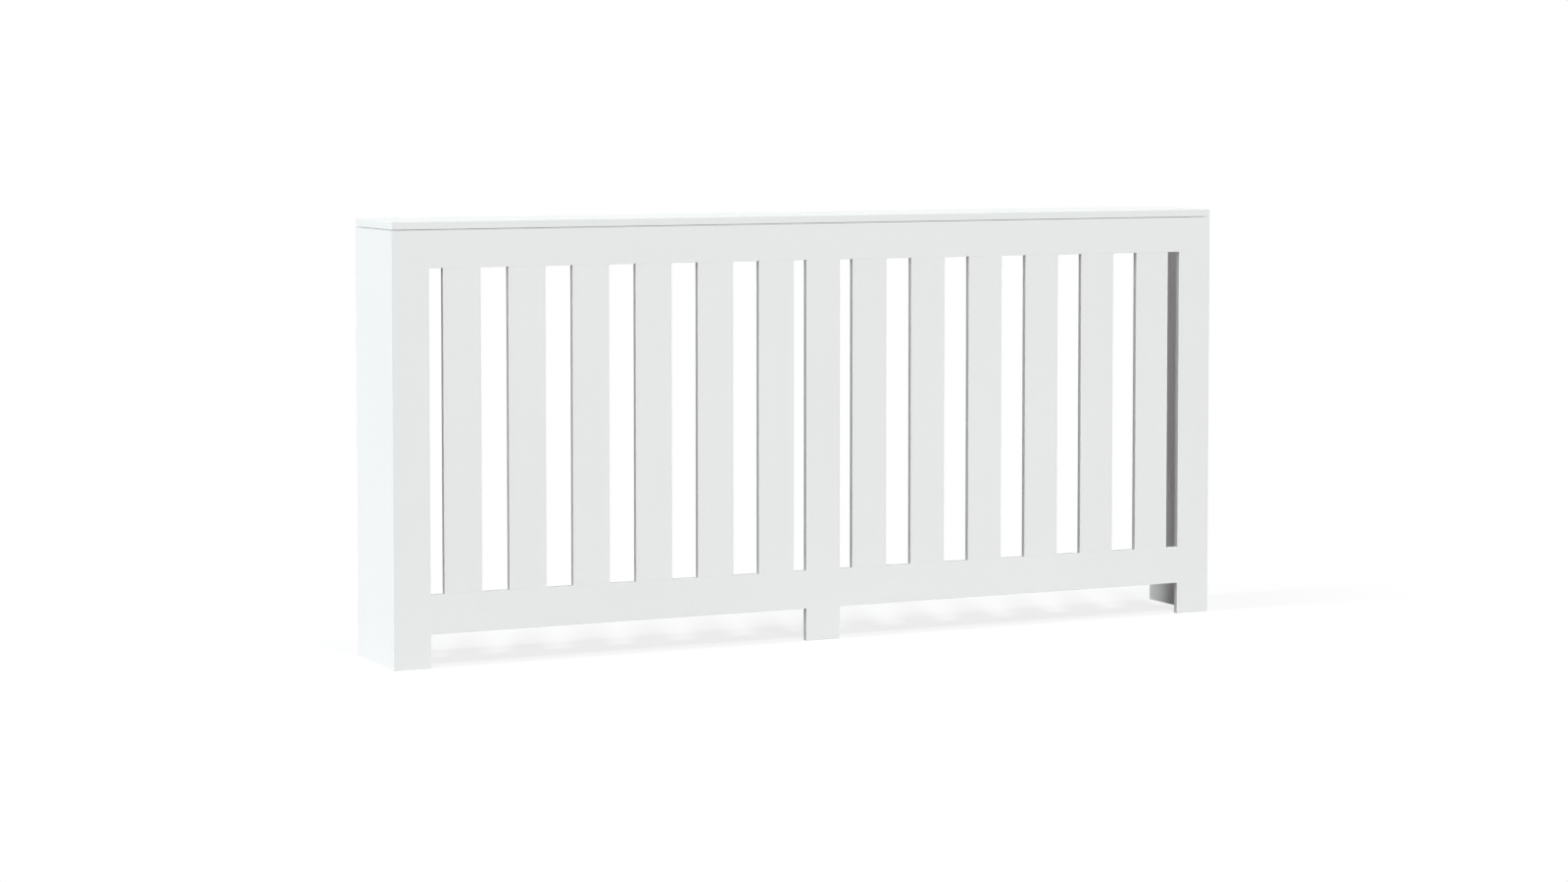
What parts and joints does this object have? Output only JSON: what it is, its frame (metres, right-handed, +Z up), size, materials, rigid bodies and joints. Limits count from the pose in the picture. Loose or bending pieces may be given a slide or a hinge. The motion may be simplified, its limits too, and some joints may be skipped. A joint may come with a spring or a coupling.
{
  "type": "radiator cover cabinet",
  "caption": "White board cabinet that stands over a wall radiator: flush lid, side panels and a front of upright slats between rails, on short feet, open at the back.",
  "frame": {"origin": "on the floor, under the middle of the lid", "axes": "+X to the right as seen from the room, +Y towards the wall, +Z up"},
  "size_m": [1.79, 0.205, 0.84],
  "materials": {
    "painted_board": "satin white paint",
    "painted_batten": "satin white paint",
    "zinc_steel": "zinc plated",
    "beech_dowel": "raw beech"
  },
  "bodies": {
    "root": {"lid": "painted_board", "left_side_panel": "painted_board", "right_side_panel": "painted_board", "left_post": "painted_board", "centre_post": "painted_board", "right_post": "painted_board", "left_top_rail": "painted_board", "right_top_rail": "painted_board", "left_bottom_rail": "painted_board", "right_bottom_rail": "painted_board", "slat_01": "painted_board", "slat_02": "painted_board", "slat_03": "painted_board", "slat_04": "painted_board", "slat_05": "painted_board", "slat_06": "painted_board", "slat_07": "painted_board", "slat_08": "painted_board", "slat_09": "painted_board", "slat_10": "painted_board", "slat_11": "painted_board", "slat_12": "painted_board", "left_corner_batten": "painted_batten", "right_corner_batten": "painted_batten", "front_lid_batten": "painted_batten", "left_lid_batten": "painted_batten", "right_lid_batten": "painted_batten", "left_wall_bracket": "zinc_steel", "right_wall_bracket": "zinc_steel", "corner_batten_screws": "zinc_steel", "lid_batten_screws": "zinc_steel", "bracket_screws": "zinc_steel", "slat_top_dowels": "beech_dowel", "slat_bottom_dowels": "beech_dowel", "rail_dowels": "beech_dowel"}
  },
  "joints": []
}
